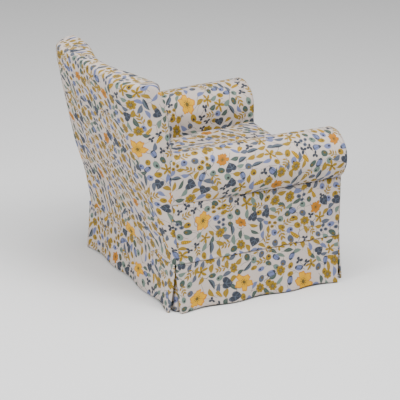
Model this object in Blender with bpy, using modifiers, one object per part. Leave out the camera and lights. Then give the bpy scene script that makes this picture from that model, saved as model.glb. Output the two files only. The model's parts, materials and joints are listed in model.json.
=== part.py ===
"""Upholstered armchair with rolled arms, a loose seat cushion and a floor-length skirt.

Units are metres, +Z is up, the front of the chair faces -Y and the sitter's left is +X.
The origin is on the floor, under the middle of the chair's bounding box.
A beech frame carries sinuous springs, foam pads, sewn covers, and a cushion that lifts out.
"""
import math

import bmesh
import bpy
from mathutils import Vector

# ---------------------------------------------------------------- driving dimensions
HEIGHT = 0.855           # floor to the top of the back
FRONT_Y = -0.4116        # plane of the arm fronts
FRONT_HALF = 0.390       # half width of the body at that plane
BODY_DEPTH = 0.667       # arm fronts to the back seam, at skirt height
TAPER = 0.0504           # the body narrows by this much a metre, each side, towards the back
SKIRT_TOP = 0.1824
HEM_Z = 0.004            # the skirt clears the floor
HEM_FLARE = 0.009
ROLL_RADIUS = 0.0947     # arm roll, outside the cover
ROLL_Z = 0.491
ROLL_INSET = 0.054       # from the roll's axis out to the outside arm panel
DECK_Z = 0.3025          # top of the sewn seat deck
CUSHION_Z = DECK_Z + 0.002
CUSHION_THICK = 0.134
CUSHION_EDGE = 0.024     # how far the cushion's edges are eased
CUSHION_FRONT_Y = -0.406
CUSHION_BACK_Y = 0.165
FABRIC = 0.003           # a cover with its lining and wadding
FACING = 0.004           # the stiff panel on the front of an arm
GAP = 0.0005             # clearance between pieces that touch
RAIL_THICK = 0.025
RAIL_BOTTOM = 0.165
RAIL_TOP = 0.255
FRONT_RAIL_Y = -0.3740
REAR_RAIL_Y = 0.2175
LEG_SIZE = 0.045
ARM_END_Y = 0.256        # the arms stop against the sides of the back
GLIDE_HEIGHT = 0.0077
DOME_Z = 0.815           # where the back starts to round over at the top
DOME_RISE = HEIGHT - DOME_Z
POST_BACK = 0.030        # from the outside of the back to the posts
POST_DEPTH = 0.028

# Side view of the outside back: height, distance back, corner radius seen from above
BACK_OUTSIDE = (
    (0.180, 0.260, 0.030), (0.315, 0.285, 0.035), (0.390, 0.309, 0.045), (0.455, 0.332, 0.055),
    (0.555, 0.359, 0.072), (0.670, 0.387, 0.092), (0.790, 0.416, 0.113), (0.855, 0.427, 0.118))
# Side view of the inside back: height, distance back at the wings, and how much deeper its middle is
BACK_INSIDE = (
    (0.300, 0.169, 0.004), (0.430, 0.179, 0.009), (0.500, 0.203, 0.017), (0.590, 0.239, 0.026),
    (0.690, 0.250, 0.046), (0.740, 0.258, 0.055), (0.790, 0.273, 0.060), (0.855, 0.291, 0.062))
BACK_HALF_LOW = 0.3558
BACK_HALF_TOP = 0.346
WING_X = 0.30            # the inside back is furthest forward here
STEM_HALF = 0.205        # the inside back's half width between the arms
STEM_TOP = 0.5895        # the arm tops: above them the inside back widens to the wings

MATERIALS = {
    "printed_linen": ((0.62, 0.58, 0.55), 0.9, 0.0),
    "beech": ((0.72, 0.53, 0.34), 0.55, 0.0),
    "dark_leg_wood": ((0.20, 0.12, 0.07), 0.45, 0.0),
    "foam": ((0.88, 0.84, 0.70), 0.95, 0.0),
    "spring_steel": ((0.45, 0.45, 0.47), 0.35, 1.0),
    "webbing": ((0.16, 0.15, 0.14), 0.9, 0.0),
    "deck_cloth": ((0.80, 0.77, 0.72), 0.95, 0.0),
    "black_cambric": ((0.05, 0.05, 0.05), 0.95, 0.0),
    "glide_plastic": ((0.08, 0.08, 0.08), 0.5, 0.0),
    "zip_metal": ((0.60, 0.58, 0.52), 0.35, 1.0),
}


# ---------------------------------------------------------------- scene and object helpers
def clear_scene():
    for obj in list(bpy.data.objects):
        bpy.data.objects.remove(obj, do_unlink=True)


def make_collection(name):
    group = bpy.data.collections.new(name)
    bpy.context.scene.collection.children.link(group)
    return group


def make_material(name):
    color, roughness, metallic = MATERIALS[name]
    mat = bpy.data.materials.new(name)
    mat.use_nodes = True
    shader = mat.node_tree.nodes["Principled BSDF"]
    shader.inputs["Base Color"].default_value = (*color, 1.0)
    shader.inputs["Roughness"].default_value = roughness
    shader.inputs["Metallic"].default_value = metallic
    return mat


def add_object(name, data, material, parent=None, smooth=False):
    obj = bpy.data.objects.new(name, data)
    CHAIR.objects.link(obj)
    data.materials.append(SLOTS[material])
    obj.parent = parent
    if smooth:
        data.shade_smooth()
        data.set_sharp_from_angle(angle=math.radians(40))
    return obj


def mesh_from(bm, name):
    bmesh.ops.recalc_face_normals(bm, faces=bm.faces[:])
    mesh = bpy.data.meshes.new(name)
    bm.to_mesh(mesh)
    bm.free()
    return mesh


def box(name, size, center, material, parent=None, turn=(0, 0, 0), bevel=0.0):
    """A block given by its full size and its centre, with its edges eased by a bevel."""
    bm = bmesh.new()
    bmesh.ops.create_cube(bm, size=1.0)
    bmesh.ops.scale(bm, vec=size, verts=bm.verts[:])
    obj = add_object(name, mesh_from(bm, name), material, parent)
    obj.location = center
    obj.rotation_euler = turn
    if bevel:
        ease = obj.modifiers.new("eased edges", "BEVEL")
        ease.width = bevel
        ease.segments = 1
    return obj


def block(name, corners, low, high, material):
    """An upright prism on a flat outline seen from above, from one height to another."""
    bm = bmesh.new()
    base = bm.faces.new([bm.verts.new((x, y, low)) for x, y in corners])
    grown = bmesh.ops.extrude_face_region(bm, geom=[base], use_keep_orig=True)
    tops = [v for v in grown["geom"] if isinstance(v, bmesh.types.BMVert)]
    bmesh.ops.translate(bm, vec=(0, 0, high - low), verts=tops)
    return add_object(name, mesh_from(bm, name), material)


def board(name, outline, thickness, material, location, turn, parent=None):
    """A flat outline with thickness, as a filled 2D curve. The outline lies in the local XY plane."""
    curve = bpy.data.curves.new(name, "CURVE")
    curve.dimensions = "2D"
    curve.fill_mode = "BOTH"
    curve.extrude = thickness / 2
    spline = curve.splines.new("POLY")
    spline.points.add(len(outline) - 1)
    for point, (x, y) in zip(spline.points, outline):
        point.co = (x, y, 0, 1)
    spline.use_cyclic_u = True
    obj = add_object(name, curve, material, parent)
    obj.location = location
    obj.rotation_euler = turn
    return obj


def wire(name, points, radius, material):
    """A bent wire with capped ends, through a list of points."""
    curve = bpy.data.curves.new(name, "CURVE")
    curve.dimensions = "3D"
    curve.bevel_depth = radius
    curve.bevel_resolution = 2
    curve.use_fill_caps = True
    spline = curve.splines.new("POLY")
    spline.points.add(len(points) - 1)
    for point, (x, y, z) in zip(spline.points, points):
        point.co = (x, y, z, 1)
    return add_object(name, curve, material)


def grid(columns, rows, surface, keep=None):
    """A grid of faces whose corners are surface(u, v), with u and v from 0 to 1."""
    bm = bmesh.new()
    bmesh.ops.create_grid(bm, x_segments=columns, y_segments=rows, size=0.5)
    if keep:
        spare = [f for f in bm.faces
                 if not keep(f.calc_center_median().x + 0.5, f.calc_center_median().y + 0.5)]
        bmesh.ops.delete(bm, geom=spare, context="FACES")
    places = {vert: (vert.co.x + 0.5, vert.co.y + 0.5) for vert in bm.verts}
    for vert, (u, v) in places.items():
        vert.co = Vector(surface(u, v))
    return bm, places


def cover(name, columns, rows, surface, material="printed_linen", parent=None, keep=None,
          thickness=FABRIC, inward=-1):
    """A sewn panel: an open surface with its thickness on the inner side."""
    bm, _ = grid(columns, rows, surface, keep)
    mesh = bpy.data.meshes.new(name)
    bm.to_mesh(mesh)
    bm.free()
    obj = add_object(name, mesh, material, parent, smooth=True)
    solid = obj.modifiers.new("cloth thickness", "SOLIDIFY")
    solid.thickness = thickness
    solid.offset = inward
    return obj


def pad(name, columns, rows, front, back, material="foam", parent=None, keep=None):
    """A foam pad between two surfaces over the same grid."""
    bm, places = grid(columns, rows, front, keep)
    first = list(places)
    spots = {tuple(round(c, 7) for c in vert.co): places[vert] for vert in first}
    grown = bmesh.ops.extrude_face_region(bm, geom=bm.faces[:], use_keep_orig=True)
    for vert in [v for v in grown["geom"] if isinstance(v, bmesh.types.BMVert)]:
        u, v = spots[tuple(round(c, 7) for c in vert.co)]
        vert.co = Vector(back(u, v))
    return add_object(name, mesh_from(bm, name), material, parent, smooth=True)


# ---------------------------------------------------------------- shape of the chair
def blend(table, z, column):
    """Reads a column of a table at a height, on a smooth curve through the table's rows."""
    z = min(max(z, table[0][0]), table[-1][0])
    index = max(i for i, row in enumerate(table[:-1]) if row[0] <= z)
    low, high = table[index], table[index + 1]
    before, after = table[max(index - 1, 0)], table[min(index + 2, len(table) - 1)]
    span = high[0] - low[0]
    t = (z - low[0]) / span
    slope_low = (high[column] - before[column]) / (high[0] - before[0]) * span
    slope_high = (after[column] - low[column]) / (after[0] - low[0]) * span
    return ((2 * t**3 - 3 * t**2 + 1) * low[column] + (t**3 - 2 * t**2 + t) * slope_low
            + (3 * t**2 - 2 * t**3) * high[column] + (t**3 - t**2) * slope_high)


def body_half(y):
    """Half width of the body, under the arm rolls."""
    return FRONT_HALF - TAPER * (y - FRONT_Y)


def back_half(z):
    """Half width of the back."""
    share = min(max((z - SKIRT_TOP) / (HEIGHT - SKIRT_TOP), 0), 1)
    return BACK_HALF_LOW + (BACK_HALF_TOP - BACK_HALF_LOW) * share


def back_y(z):
    return blend(BACK_OUTSIDE, z, 1)


def outside_y(x, z):
    """How far back the outside of the back is at one place, round its corners."""
    radius = blend(BACK_OUTSIDE, z, 2)
    past = min(max(abs(x) - (back_half(z) - radius), 0), radius * 0.999)
    return back_y(z) - radius + math.sqrt(radius**2 - past**2)


def inside_y(x, z):
    """How far back the inside of the back is: dished between the wings, eased at their edges."""
    dish = (1 + math.cos(math.pi * min(abs(x) / WING_X, 1))) / 2
    edge = max(abs(x) - WING_X - 0.006, 0) / 0.04
    return blend(BACK_INSIDE, z, 1) + blend(BACK_INSIDE, z, 2) * dish + 0.030 * edge**2


def wing_edge_y(z):
    """Front edge of the outside back: a side seam behind the arm, the wing above it."""
    corner = back_y(z) - blend(BACK_OUTSIDE, z, 2)
    if z < 0.41:
        return corner - 0.004
    if z < STEM_TOP:
        return ARM_END_Y + 0.003
    return min(inside_y(back_half(z), z) + 0.004, corner - 0.002)


def outside_plan(t, z):
    """Outside of the back at one height, from the right front edge (-1) round to the left one (1)."""
    radius = blend(BACK_OUTSIDE, z, 2)
    half = back_half(z)
    side = 1 if t > 0 else -1
    reach = abs(t)
    if reach <= 0.4:
        x, y = reach / 0.4 * (half - radius), back_y(z)
    elif reach <= 0.9:
        angle = (reach - 0.4) / 0.5 * math.pi / 2
        x = half - radius + radius * math.sin(angle)
        y = back_y(z) - radius + radius * math.cos(angle)
    else:
        share = (reach - 0.9) / 0.1
        corner = back_y(z) - radius
        x, y = half, corner + (wing_edge_y(z) - corner) * share
    return side * x, y


def outside_back_surface(u, v):
    """Up the back for the first 0.7 of v, then over the top to the inside's edge."""
    t = u * 2 - 1
    if v <= 0.7:
        z = SKIRT_TOP + GAP + (DOME_Z - SKIRT_TOP - GAP) * v / 0.7
        return (*outside_plan(t, z), z)
    angle = (v - 0.7) / 0.3 * math.pi * 0.93
    x, y = outside_plan(t, DOME_Z)
    inner_x = x * (1 - 0.035 * abs(t))
    inner_y = min(inside_y(inner_x, DOME_Z) + 0.004, y - 0.004)
    across = (1 - math.cos(angle)) / 2
    depth = math.sqrt(min((y - inner_y) / 0.04, 1))
    rise = DOME_RISE * depth * math.sin(angle) ** 0.65
    return x + (inner_x - x) * across, y + (inner_y - y) * across, DOME_Z + rise


def stem_height(v, low, high):
    """Heights of the inside back's rows: half of them up to the arm tops, half above."""
    if v <= 0.5:
        return low + (STEM_TOP - low) * math.sin(math.pi * v)
    return STEM_TOP + (high - STEM_TOP) * (v - 0.5) / 0.5


def in_back_outline(u, v):
    """The inside back is narrow between the arms and wide above them."""
    return v > 0.5 or abs(u - 0.5) < 5 / 16


def stem_half(z):
    """Half width of the inside back between the arms, following the rolls as they turn away."""
    reach = ROLL_RADIUS + 0.008
    above = min(max(z - ROLL_Z, 0), reach * 0.999)
    axis = FRONT_HALF - ROLL_INSET - TAPER * (ARM_END_Y - FRONT_Y)
    return max(STEM_HALF, axis - math.sqrt(reach**2 - above**2))


def wing_width(u, z, margin):
    """Across the inside back: its middle 10 of 16 columns are the stem."""
    side = u * 2 - 1
    stem = stem_half(z)
    if abs(side) <= 10 / 16:
        return side / (10 / 16) * stem
    wing = (abs(side) - 10 / 16) / (6 / 16)
    return math.copysign(stem + (back_half(z) - margin - stem) * wing, side)


# ---------------------------------------------------------------- arms
def arm_outline(share, inset, stretch=0.0):
    """Section of an arm: up its inner face, over the roll, down to the outside panel.

    share runs from 0 to 1, inset moves inward, and stretch, from 0 to 1, flattens the overhang.
    """
    radius = ROLL_RADIUS - inset
    straight = 0.25
    if share <= straight:
        low = DECK_Z + GAP
        return -radius, low + (ROLL_Z - low) * share / straight
    end = -math.acos(min((ROLL_INSET - 0.001) / ROLL_RADIUS, 1))
    angle = math.pi + (end - math.pi) * (share - straight) / (1 - straight)
    x = radius * math.cos(angle)
    flat = ROLL_INSET - min(inset, 0.012)
    if x > flat:
        x += (flat - x) * stretch
    return x, ROLL_Z + radius * math.sin(angle)


def facing_outline(inset):
    """Front view of an arm: the roll's round with a straight neck down to the skirt."""
    radius = ROLL_RADIUS - inset
    neck = ROLL_INSET - inset
    end = -math.acos(neck / radius)
    angles = [math.pi + (end - math.pi) * i / 20 for i in range(21)]
    round_top = [(radius * math.cos(a), ROLL_Z + radius * math.sin(a)) for a in angles]
    low = SKIRT_TOP + GAP
    return [(-radius, low)] + round_top + [(neck, low)]


def arm_point(side, x, y, z):
    """A point given across, along and up an arm. Both arms close in towards the back."""
    return side * (FRONT_HALF - ROLL_INSET - TAPER * y + x), FRONT_Y + y, z


def make_arm(side, label):
    """One arm: its cover, facing, panel, pad, boards and the seat rail under it."""
    length = ARM_END_Y - FRONT_Y
    flip = -1 if side > 0 else 1

    def along(inset, start, end):
        def surface(u, v):
            z = arm_outline(u, inset)[1]
            post_front = back_y(z) - POST_BACK - POST_DEPTH - 0.008 - FRONT_Y
            y = start + (min(end, post_front) - start) * v
            closing = min(max((y / length - 0.55) / 0.45, 0), 1)
            x, z = arm_outline(u, inset, closing**2 * (3 - 2 * closing))
            return arm_point(side, x, y, z)
        return surface

    cover(f"arm_cover_{label}", 24, 6, along(0, FACING + GAP, length), inward=flip)
    pad(f"arm_pad_{label}", 24, 6, along(FABRIC + 0.0008, 0.0245, length - 0.003),
        along(0.042, 0.0245, length - 0.003))

    def panel(u, v):
        z = SKIRT_TOP + GAP + (0.4105 - SKIRT_TOP - GAP) * v
        rear = min(back_y(z) - blend(BACK_OUTSIDE, z, 2) - 0.0075, ARM_END_Y - 0.002) - FRONT_Y
        return arm_point(side, ROLL_INSET + GAP, FACING + GAP + (rear - FACING - GAP) * u, z)

    cover(f"outside_arm_panel_{label}", 4, 4, panel, inward=flip)

    front_place = arm_point(side, 0, 0, 0)
    for name, inset, thick, material, start in (
            ("arm_facing", 0.0, FACING, "printed_linen", 0.0),
            ("arm_front_board", 0.0048, 0.018, "beech", FACING + 2 * GAP)):
        outline = [(side * x, z) for x, z in facing_outline(inset)]
        middle = (front_place[0], FRONT_Y + start + thick / 2, 0)
        board(f"{name}_{label}", outline, thick, material, middle, (math.pi / 2, 0, 0))

    hub = bpy.data.objects.new(f"arm_axis_{label}", None)
    CHAIR.objects.link(hub)
    hub.location = front_place
    hub.rotation_euler = (0, 0, side * math.atan(TAPER))
    top_length = 0.600
    box(f"arm_top_rail_{label}", (0.050, top_length, 0.045), (0, 0.025 + top_length / 2, ROLL_Z + 0.004),
        "beech", hub, bevel=0.004)
    rail_x = ROLL_INSET - FABRIC - 0.0030 - RAIL_THICK / 2
    rail_length = 0.612
    box(f"{label}_seat_rail", (RAIL_THICK, rail_length, RAIL_TOP - RAIL_BOTTOM),
        (side * rail_x, 0.0270 + rail_length / 2, (RAIL_TOP + RAIL_BOTTOM) / 2), "beech", hub,
        bevel=0.002)


# ---------------------------------------------------------------- back
def make_back():
    cover("outside_back_cover", 28, 14, outside_back_surface, inward=1)

    def inside(u, v):
        z = stem_height(v, DECK_Z + 2 * GAP, DOME_Z - 0.012)
        x = wing_width(u, z, 0.010)
        return x, inside_y(x, z), z

    cover("inside_back_cover", 16, 12, inside, keep=in_back_outline, inward=1)

    def pad_front(u, v):
        z = stem_height(v, DECK_Z + 4 * GAP, DOME_Z - 0.014)
        x = wing_width(u, z, 0.036)
        return x, inside_y(x, z) + FABRIC + 0.0055, z

    def pad_back(u, v):
        x, front, z = pad_front(u, v)
        behind = min(back_y(z) - POST_BACK - POST_DEPTH - 0.006, outside_y(x, z) - 0.008)
        return x, max(behind, front + 0.010), z

    pad("inside_back_pad", 16, 12, pad_front, pad_back, keep=in_back_outline)

    heights = [RAIL_TOP + GAP + (0.790 - RAIL_TOP) * i / 8 for i in range(9)]
    rear_edge = [(back_y(z) - POST_BACK, z) for z in heights]
    front_edge = [(back_y(z) - POST_BACK - POST_DEPTH, z) for z in reversed(heights)]
    for side, label in SIDES:
        board(f"back_post_{label}", rear_edge + front_edge, 0.030, "beech", (side * 0.245, 0, 0),
              (math.pi / 2, 0, math.pi / 2))

    post_middle = POST_BACK + POST_DEPTH / 2
    for name, z, tall in (("back_top_rail", 0.755, 0.050), ("back_lower_rail", 0.400, 0.045)):
        lean = math.atan((back_y(z + 0.02) - back_y(z - 0.02)) / 0.04)
        box(name, (0.458, POST_DEPTH - 0.004, tall), (0, back_y(z) - post_middle, z), "beech",
            turn=(-lean, 0, 0), bevel=0.002)
    for name, z in (("back_webbing_lower", 0.520), ("back_webbing_upper", 0.640)):
        lean = math.atan((back_y(z + 0.02) - back_y(z - 0.02)) / 0.04)
        box(name, (0.515, 0.0018, 0.050), (0, back_y(z) - POST_BACK - POST_DEPTH - 0.0028, z),
            "webbing", turn=(-lean, 0, 0))


# ---------------------------------------------------------------- seat frame and suspension
def make_seat_frame():
    tall = RAIL_TOP - RAIL_BOTTOM
    middle_z = (RAIL_TOP + RAIL_BOTTOM) / 2
    inner = RAIL_THICK + FABRIC + 0.0055
    for end, y, facing_in in (("front", FRONT_RAIL_Y, 1), ("rear", REAR_RAIL_Y, -1)):
        box(f"{end}_seat_rail", (2 * (body_half(y) - inner), RAIL_THICK, tall), (0, y, middle_z),
            "beech", bevel=0.002)
        for side, label in SIDES:
            edge = y + facing_in * (RAIL_THICK / 2 + GAP)
            wall = body_half(edge) - inner - 0.003
            arm = 0.062
            corners = [(side * wall, edge), (side * (wall - arm), edge),
                       (side * (wall - 0.006), edge + facing_in * arm)]
            block(f"corner_block_{end}_{label}", corners, RAIL_BOTTOM + 0.010, RAIL_TOP - 0.015, "beech")
            make_leg(f"{end}_{label}", side * (body_half(y) - 0.034), y + facing_in * 0.012)

    for name, x in (("seat_spring_1", -0.174), ("seat_spring_2", -0.058),
                    ("seat_spring_3", 0.058), ("seat_spring_4", 0.174)):
        wire(name, spring_path(x, FRONT_RAIL_Y, REAR_RAIL_Y), 0.0019, "spring_steel")

    outline = [(0.27, -0.382), (0.355, -0.307), (0.322, 0.133), (0.25, 0.225),
               (-0.25, 0.225), (-0.322, 0.133), (-0.355, -0.307), (-0.27, -0.382)]
    block("dust_cover", outline, RAIL_BOTTOM - 0.003, RAIL_BOTTOM - GAP, "black_cambric")


def spring_path(x, front, rear):
    """A flat zigzag wire between two rails, bowed up by its own set."""
    half_loops = 18
    swing = 0.024
    rise = 0.015
    lift = RAIL_TOP + 0.0024
    points = []
    for i in range(half_loops):
        side = 1 if i % 2 else -1
        for share in (0.15, 0.85):
            t = (i + share) / half_loops
            points.append((x + side * swing, front + (rear - front) * t,
                           lift + rise * math.sin(math.pi * t)))
    points.insert(0, (x, front, lift))
    points.append((x, rear, lift))
    return points


def make_leg(label, x, y):
    """A square leg, tapered towards a nylon glide."""
    bm = bmesh.new()
    half_diagonal = LEG_SIZE / math.sqrt(2)
    bmesh.ops.create_cone(bm, cap_ends=True, segments=4, radius1=half_diagonal * 0.72,
                          radius2=half_diagonal, depth=RAIL_BOTTOM - GLIDE_HEIGHT - 2 * GAP)
    leg = add_object(f"leg_{label}", mesh_from(bm, "leg"), "dark_leg_wood")
    leg.location = (x, y, (RAIL_BOTTOM + GLIDE_HEIGHT) / 2)
    leg.rotation_euler = (0, 0, math.pi / 4)
    bm = bmesh.new()
    bmesh.ops.create_cone(bm, cap_ends=True, segments=20, radius1=0.010, radius2=0.0115, depth=GLIDE_HEIGHT)
    glide = add_object(f"leg_glide_{label}", mesh_from(bm, "glide"), "glide_plastic", smooth=True)
    glide.location = (x, y, GLIDE_HEIGHT / 2)


# ---------------------------------------------------------------- seat deck, border and cushion
def arm_inside(y):
    """Half width between the arms' inner faces."""
    return FRONT_HALF - ROLL_INSET - ROLL_RADIUS - TAPER * (y - FRONT_Y)


def trapezoid(front, rear, clear):
    """Outline between the arms, from one distance back to another."""
    near, far = arm_inside(front) - clear, arm_inside(rear) - clear
    return [(near, front), (far, rear), (-far, rear), (-near, front)]


def make_seat_deck():
    front = FRONT_Y + 0.002
    pad_top = DECK_Z - FABRIC - GAP
    block("seat_deck_pad", trapezoid(front + 0.0245, 0.150, 0.002), pad_top - 0.020, pad_top, "foam")
    block("seat_deck_cover", trapezoid(front + 0.0245, 0.160, 0.0015), DECK_Z - FABRIC, DECK_Z,
          "deck_cloth")
    block("front_edge_pad", trapezoid(front + FABRIC + GAP, front + 0.022, 0.002),
          SKIRT_TOP + 0.004, DECK_Z - FABRIC, "foam")
    block("front_border", trapezoid(front, front + FABRIC, 0.001), SKIRT_TOP + GAP, DECK_Z,
          "printed_linen")


def cushion_block(name, shrink, material):
    """The loose cushion's shape: tapered in plan, with eased edges."""
    low = CUSHION_Z + shrink
    high = CUSHION_Z + CUSHION_THICK - shrink
    outline = trapezoid(CUSHION_FRONT_Y + shrink, CUSHION_BACK_Y - shrink, 0.005 + shrink)
    obj = block(name, outline, low, high, material)
    ease = obj.modifiers.new("crowned edges", "BEVEL")
    ease.width = CUSHION_EDGE - shrink
    ease.segments = 3
    obj.data.shade_smooth()
    return obj


def make_cushion():
    wall = 0.002
    cushion_block("seat_cushion_foam", wall + 0.0006, "foam")
    shell = cushion_block("seat_cushion_cover", 0.0, "printed_linen")
    hollow = shell.modifiers.new("cloth thickness", "SOLIDIFY")
    hollow.thickness = wall
    hollow.offset = -1

    zip_half = 0.175
    zip_z = CUSHION_Z + CUSHION_THICK / 2
    slot = box("zip_slot_cutter", (2 * zip_half, 4 * wall, 0.010),
               (0, CUSHION_BACK_Y - wall / 2, zip_z), "zip_metal")
    CHAIR.objects.unlink(slot)
    CUTTERS.objects.link(slot)
    slot.hide_render = True
    slot.display_type = "WIRE"
    cut = shell.modifiers.new("zip opening", "BOOLEAN")
    cut.operation = "DIFFERENCE"
    cut.object = slot

    box("cushion_zip_tape", (2 * zip_half - 0.001, 0.0014, 0.009),
        (0, CUSHION_BACK_Y - 0.0008, zip_z), "webbing")
    box("cushion_zip_slider", (0.012, 0.0030, 0.008),
        (-(zip_half - 0.010), CUSHION_BACK_Y + 0.0018, zip_z), "zip_metal", bevel=0.0008)


# ---------------------------------------------------------------- skirt
def skirt_panel(name, start, end, outward, bulge=0.0):
    """One flared panel between two points at seam height, hanging down to the hem."""
    def surface(u, v):
        flare = HEM_FLARE * v**1.5
        x = start[0] + (end[0] - start[0]) * u + outward[0] * flare
        y = start[1] + (end[1] - start[1]) * u + outward[1] * (flare + bulge * math.sin(math.pi * u))
        return x, y, SKIRT_TOP + (HEM_Z - SKIRT_TOP) * v
    return cover(name, 6, 3, surface, inward=1)


def make_skirt():
    rear = FRONT_Y + BODY_DEPTH
    front_half = FRONT_HALF - 0.004
    rear_half = body_half(rear) - 0.004
    skirt_panel("skirt_front", (-front_half, FRONT_Y), (front_half, FRONT_Y), (0, -1))
    skirt_panel("skirt_back", (rear_half, rear + 0.003), (-rear_half, rear + 0.003), (0, 1))
    edge = 0.008
    for side, label in SIDES:
        front = (side * body_half(FRONT_Y + edge), FRONT_Y + edge)
        back = (side * body_half(rear - edge), rear - edge)
        ends = (front, back) if side > 0 else (back, front)
        skirt_panel(f"skirt_{label}", *ends, (side, 0))
        for end, y, inwards in (("front", FRONT_Y, 1), ("rear", rear, -1)):
            make_gusset(f"pleat_gusset_{end}_{label}", side, y, inwards)


def make_gusset(name, side, y, inwards):
    """The folded strip behind a corner slit of the skirt."""
    reach = 0.050
    sink = 0.0065
    corner = (side * (body_half(y) - sink), y + inwards * sink)
    along_x = (corner[0] - side * reach, corner[1])
    along_y = (corner[0] - side * inwards * TAPER * reach, corner[1] + inwards * reach)

    def surface(u, v):
        flare = 0.6 * HEM_FLARE * v**1.5
        a, b, t = (along_x, corner, u * 2) if u <= 0.5 else (corner, along_y, u * 2 - 1)
        x = a[0] + (b[0] - a[0]) * t
        y_here = a[1] + (b[1] - a[1]) * t
        top = RAIL_BOTTOM - 0.002
        return x + side * flare, y_here - inwards * flare, top + (HEM_Z - top) * v

    cover(name, 2, 2, surface, thickness=0.002, inward=0)


# ---------------------------------------------------------------- assembly
clear_scene()
CHAIR = make_collection("upholstered_armchair")
CUTTERS = make_collection("cutters")
SLOTS = {name: make_material(name) for name in MATERIALS}
SIDES = ((1, "left"), (-1, "right"))

for arm_side, arm_label in SIDES:
    make_arm(arm_side, arm_label)
make_back()
make_seat_frame()
make_seat_deck()
make_cushion()
make_skirt()
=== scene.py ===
"""Looks of the upholstered armchair: sewn covers, a stuffed loose cushion, a hanging skirt and their print.

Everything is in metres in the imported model's frame: +Z up, the front faces -Y, the sitter's left is +X.
"""
import json
import math

import bmesh
import bpy
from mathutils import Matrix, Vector, noise


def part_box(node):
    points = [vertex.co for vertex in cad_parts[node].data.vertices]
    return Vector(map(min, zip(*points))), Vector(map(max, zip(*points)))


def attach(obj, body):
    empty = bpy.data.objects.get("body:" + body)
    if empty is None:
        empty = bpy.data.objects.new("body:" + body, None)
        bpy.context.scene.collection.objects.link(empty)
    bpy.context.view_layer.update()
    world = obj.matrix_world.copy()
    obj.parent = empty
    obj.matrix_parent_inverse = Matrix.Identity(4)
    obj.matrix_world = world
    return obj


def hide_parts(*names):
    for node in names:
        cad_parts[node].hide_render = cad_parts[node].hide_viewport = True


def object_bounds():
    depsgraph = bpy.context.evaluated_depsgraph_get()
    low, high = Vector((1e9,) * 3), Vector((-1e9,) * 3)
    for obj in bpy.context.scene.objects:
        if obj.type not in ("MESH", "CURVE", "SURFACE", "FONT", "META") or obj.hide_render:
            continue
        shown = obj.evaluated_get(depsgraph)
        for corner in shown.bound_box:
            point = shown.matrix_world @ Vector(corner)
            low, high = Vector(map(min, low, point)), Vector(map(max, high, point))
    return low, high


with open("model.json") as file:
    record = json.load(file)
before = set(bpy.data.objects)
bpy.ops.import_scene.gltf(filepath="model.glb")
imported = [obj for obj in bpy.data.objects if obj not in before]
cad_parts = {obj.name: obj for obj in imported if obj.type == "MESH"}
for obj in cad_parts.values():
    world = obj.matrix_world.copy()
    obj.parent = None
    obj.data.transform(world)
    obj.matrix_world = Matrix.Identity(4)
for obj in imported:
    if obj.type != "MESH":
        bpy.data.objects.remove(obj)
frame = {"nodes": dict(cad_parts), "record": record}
CAD_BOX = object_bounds()

# ---------------------------------------------------------------- sizes, from the frame
FACING_LOW, FACING_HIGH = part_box("arm_facing_left")
PANEL_LOW, PANEL_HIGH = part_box("outside_arm_panel_left")
DECK_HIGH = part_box("seat_deck_cover")[1]
CUSHION_LOW, CUSHION_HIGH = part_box("seat_cushion_cover")
BORDER_LOW, BORDER_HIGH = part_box("front_border")
ZIP_LOW, ZIP_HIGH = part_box("cushion_zip_tape")
GUSSET_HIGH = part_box("pleat_gusset_front_left")[1]

ROLL_RADIUS = (FACING_HIGH.x - FACING_LOW.x) / 2
ROLL_X = (FACING_HIGH.x + FACING_LOW.x) / 2
ROLL_Z = FACING_HIGH.z - ROLL_RADIUS
FRONT_Y = FACING_LOW.y
SKIRT_TOP = PANEL_LOW.z
HEM_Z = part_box("skirt_left")[0].z
DECK_Z = DECK_HIGH.z
HEIGHT = CAD_BOX[1][2]
ARM_END_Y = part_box("arm_cover_left")[1].y
BACK_SEAM_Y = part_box("skirt_back")[1].y - 0.012

# ---------------------------------------------------------------- shape values, as in the CAD
TAPER = 0.0504           # the body narrows by this much a metre, each side, towards the back
ROLL_INSET = 0.054       # from the roll's axis out to the outside panel
WING_X = 0.30            # the inside back is furthest forward here
STEM_TOP = 0.5895        # the arm tops
BACK_HALF_LOW = 0.3558
BACK_HALF_TOP = 0.346
DOME_Z = 0.817           # the back starts to round over at the top
DOME_RISE = HEIGHT + 0.003 - DOME_Z
WING_ROUND = 0.013       # radius of the wings' front edges
CLOTH = 0.0026           # a cover with its lining

# Outside of the back: height, distance back, corner radius seen from above
BACK_OUTSIDE = (
    (0.180, 0.260, 0.030), (0.315, 0.285, 0.035), (0.390, 0.309, 0.045), (0.455, 0.332, 0.055),
    (0.555, 0.359, 0.072), (0.670, 0.387, 0.092), (0.790, 0.416, 0.113), (0.855, 0.427, 0.118))
# Inside of the back: height, distance back at the wings, how much deeper its middle is
BACK_INSIDE = (
    (0.300, 0.169, 0.004), (0.430, 0.179, 0.009), (0.500, 0.203, 0.017), (0.590, 0.239, 0.026),
    (0.690, 0.250, 0.046), (0.740, 0.258, 0.055), (0.790, 0.273, 0.060), (0.855, 0.291, 0.062))
SIDES = ((1, "left"), (-1, "right"))


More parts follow.
